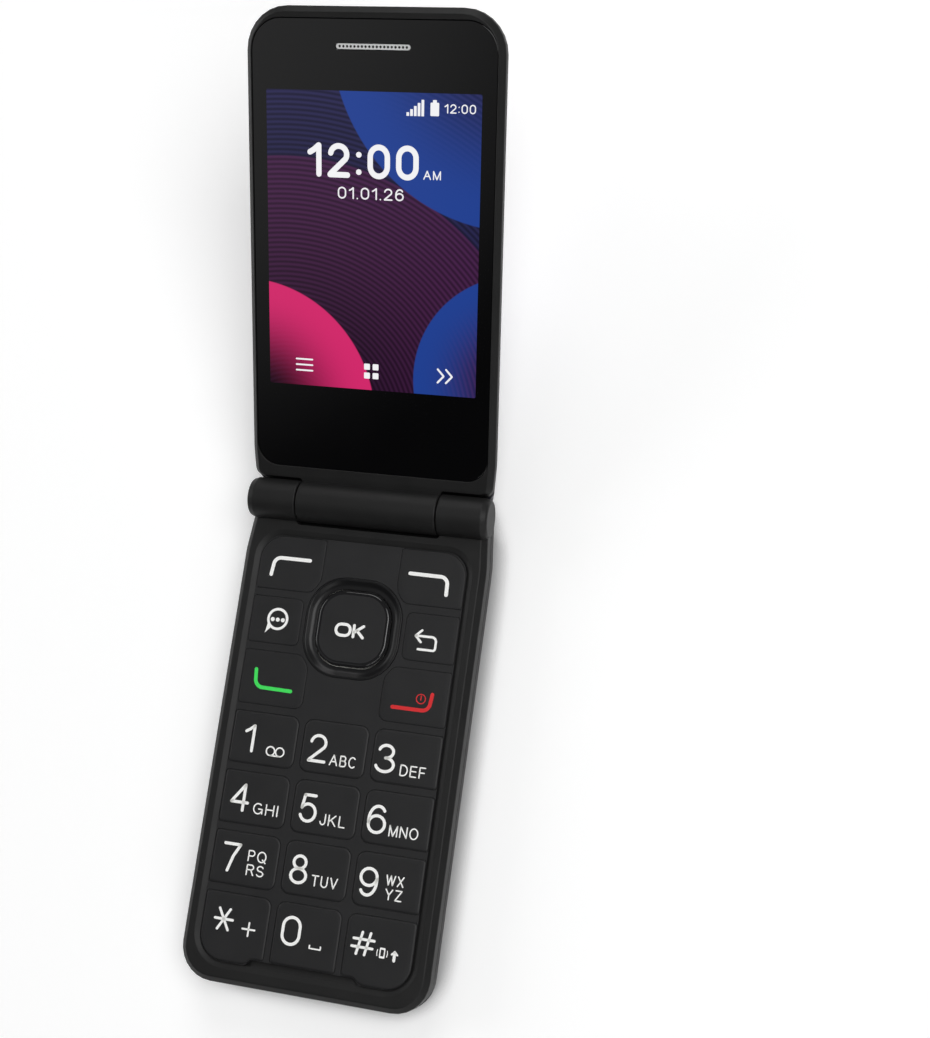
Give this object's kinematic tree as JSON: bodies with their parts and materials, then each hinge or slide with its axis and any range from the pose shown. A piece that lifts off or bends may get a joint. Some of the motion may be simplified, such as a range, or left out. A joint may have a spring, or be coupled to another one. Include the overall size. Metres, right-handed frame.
{
  "type": "flip phone",
  "caption": "Folding mobile phone with a hinged lid, a main display, a keypad, a navigation ring and a small display and camera on the lid.",
  "frame": {"origin": "middle of the flat back of the battery door, on which the phone rests", "axes": "+X across the width, to the right when the keypad is read; +Y from the keypad's free end to the hinge; +Z out of the keypad"},
  "size_m": [0.0552, 0.1971, 0.0566],
  "materials": {
    "case_black": "fine matte black moulding",
    "key_black": "satin black keys with white legends",
    "cover_black": "satin metallic lacquer on plastic, black with a violet tint",
    "ring_black": "polished black",
    "lens_black": "glossy black acrylic lens",
    "lens_clear": "coated camera glass",
    "display": "display module",
    "grille": "punched silver mesh",
    "steel": "plain steel",
    "black_part": "black engineering plastic",
    "white_part": "white engineering plastic",
    "board": "green printed circuit board",
    "rubber": "dark silicone rubber",
    "copper": "copper and gold contacts",
    "battery": "wrapped battery cell"
  },
  "bodies": {
    "base": {"front_case": "case_black", "rear_case": "case_black", "battery_pack": "battery", "battery_contacts": "copper", "main_board": "board", "board_shield": "steel", "sim_socket": "steel", "dome_sheet": "white_part", "keypad_mat": "rubber", "keypad_plate": "key_black", "usb_port": "steel", "headset_jack": "black_part", "loudspeaker": "black_part", "vibration_motor": "steel", "microphone": "steel", "antenna": "black_part", "base_screws": "steel", "hinge_cartridge": "steel", "hinge_spring": "steel", "hinge_bush": "steel", "hinge_flex": "copper"},
    "lid": {"lid_frame": "case_black", "lid_cover": "cover_black", "display_window": "lens_black", "display_module": "display", "earpiece_grille": "grille", "earpiece_receiver": "black_part", "lid_board": "board", "outer_display": "display", "outer_window": "lens_black", "camera_ring": "ring_black", "camera_window": "lens_clear", "camera_module": "black_part", "lid_magnet": "steel", "lid_screws": "steel", "hinge_shaft": "steel"},
    "key_soft_left": {"key_soft_left": "key_black"},
    "key_soft_right": {"key_soft_right": "key_black"},
    "key_message": {"key_message": "key_black"},
    "key_back": {"key_back": "key_black"},
    "key_call": {"key_call": "key_black"},
    "key_end": {"key_end": "key_black"},
    "key_ok": {"key_ok": "key_black"},
    "key_1": {"key_1": "key_black"},
    "key_2": {"key_2": "key_black"},
    "key_3": {"key_3": "key_black"},
    "key_4": {"key_4": "key_black"},
    "key_5": {"key_5": "key_black"},
    "key_6": {"key_6": "key_black"},
    "key_7": {"key_7": "key_black"},
    "key_8": {"key_8": "key_black"},
    "key_9": {"key_9": "key_black"},
    "key_star": {"key_star": "key_black"},
    "key_0": {"key_0": "key_black"},
    "key_hash": {"key_hash": "key_black"},
    "nav_rocker": {"nav_rocker": "white_part"},
    "nav_ring": {"nav_ring": "ring_black"},
    "volume_key": {"volume_key": "case_black"},
    "battery_door": {"battery_door": "cover_black"}
  },
  "joints": [
    {"name": "lid_hinge", "type": "hinge", "parent": "base", "child": "lid", "pos_m": [0, 0.0516, 0.01075], "axis": [1, 0, 0], "range_deg": [0, 153.5]},
    {"name": "key_soft_left_press", "type": "slide", "parent": "base", "child": "key_soft_left", "axis": [0, 0, -1], "range_m": [0, 0.0003], "stiffness_N_per_m": 3000},
    {"name": "key_soft_right_press", "type": "slide", "parent": "base", "child": "key_soft_right", "axis": [0, 0, -1], "range_m": [0, 0.0003], "stiffness_N_per_m": 3000},
    {"name": "key_message_press", "type": "slide", "parent": "base", "child": "key_message", "axis": [0, 0, -1], "range_m": [0, 0.0003], "stiffness_N_per_m": 3000},
    {"name": "key_back_press", "type": "slide", "parent": "base", "child": "key_back", "axis": [0, 0, -1], "range_m": [0, 0.0003], "stiffness_N_per_m": 3000},
    {"name": "key_call_press", "type": "slide", "parent": "base", "child": "key_call", "axis": [0, 0, -1], "range_m": [0, 0.0003], "stiffness_N_per_m": 3000},
    {"name": "key_end_press", "type": "slide", "parent": "base", "child": "key_end", "axis": [0, 0, -1], "range_m": [0, 0.0003], "stiffness_N_per_m": 3000},
    {"name": "key_ok_press", "type": "slide", "parent": "base", "child": "key_ok", "axis": [0, 0, -1], "range_m": [0, 0.0003], "stiffness_N_per_m": 3000},
    {"name": "key_1_press", "type": "slide", "parent": "base", "child": "key_1", "axis": [0, 0, -1], "range_m": [0, 0.0003], "stiffness_N_per_m": 3000},
    {"name": "key_2_press", "type": "slide", "parent": "base", "child": "key_2", "axis": [0, 0, -1], "range_m": [0, 0.0003], "stiffness_N_per_m": 3000},
    {"name": "key_3_press", "type": "slide", "parent": "base", "child": "key_3", "axis": [0, 0, -1], "range_m": [0, 0.0003], "stiffness_N_per_m": 3000},
    {"name": "key_4_press", "type": "slide", "parent": "base", "child": "key_4", "axis": [0, 0, -1], "range_m": [0, 0.0003], "stiffness_N_per_m": 3000},
    {"name": "key_5_press", "type": "slide", "parent": "base", "child": "key_5", "axis": [0, 0, -1], "range_m": [0, 0.0003], "stiffness_N_per_m": 3000},
    {"name": "key_6_press", "type": "slide", "parent": "base", "child": "key_6", "axis": [0, 0, -1], "range_m": [0, 0.0003], "stiffness_N_per_m": 3000},
    {"name": "key_7_press", "type": "slide", "parent": "base", "child": "key_7", "axis": [0, 0, -1], "range_m": [0, 0.0003], "stiffness_N_per_m": 3000},
    {"name": "key_8_press", "type": "slide", "parent": "base", "child": "key_8", "axis": [0, 0, -1], "range_m": [0, 0.0003], "stiffness_N_per_m": 3000},
    {"name": "key_9_press", "type": "slide", "parent": "base", "child": "key_9", "axis": [0, 0, -1], "range_m": [0, 0.0003], "stiffness_N_per_m": 3000},
    {"name": "key_star_press", "type": "slide", "parent": "base", "child": "key_star", "axis": [0, 0, -1], "range_m": [0, 0.0003], "stiffness_N_per_m": 3000},
    {"name": "key_0_press", "type": "slide", "parent": "base", "child": "key_0", "axis": [0, 0, -1], "range_m": [0, 0.0003], "stiffness_N_per_m": 3000},
    {"name": "key_hash_press", "type": "slide", "parent": "base", "child": "key_hash", "axis": [0, 0, -1], "range_m": [0, 0.0003], "stiffness_N_per_m": 3000},
    {"name": "nav_up_down", "type": "hinge", "parent": "base", "child": "nav_rocker", "pos_m": [0, 0.0253, 0.0092], "axis": [1, 0, 0], "range_deg": [-1.3, 1.3], "stiffness_Nm_per_rad": 0.35},
    {"name": "nav_left_right", "type": "hinge", "parent": "nav_rocker", "child": "nav_ring", "pos_m": [0, 0.0253, 0.0092], "axis": [0, 1, 0], "range_deg": [-1.3, 1.3], "stiffness_Nm_per_rad": 0.35},
    {"name": "volume_rock", "type": "hinge", "parent": "base", "child": "volume_key", "pos_m": [-0.0258, 0.0276, 0.0078], "axis": [0, 0, 1], "range_deg": [-1.5, 1.5], "stiffness_Nm_per_rad": 0.25},
    {"name": "battery_door_release", "type": "slide", "parent": "base", "child": "battery_door", "axis": [0, 0, -1], "range_m": [0, 0.012]}
  ]
}
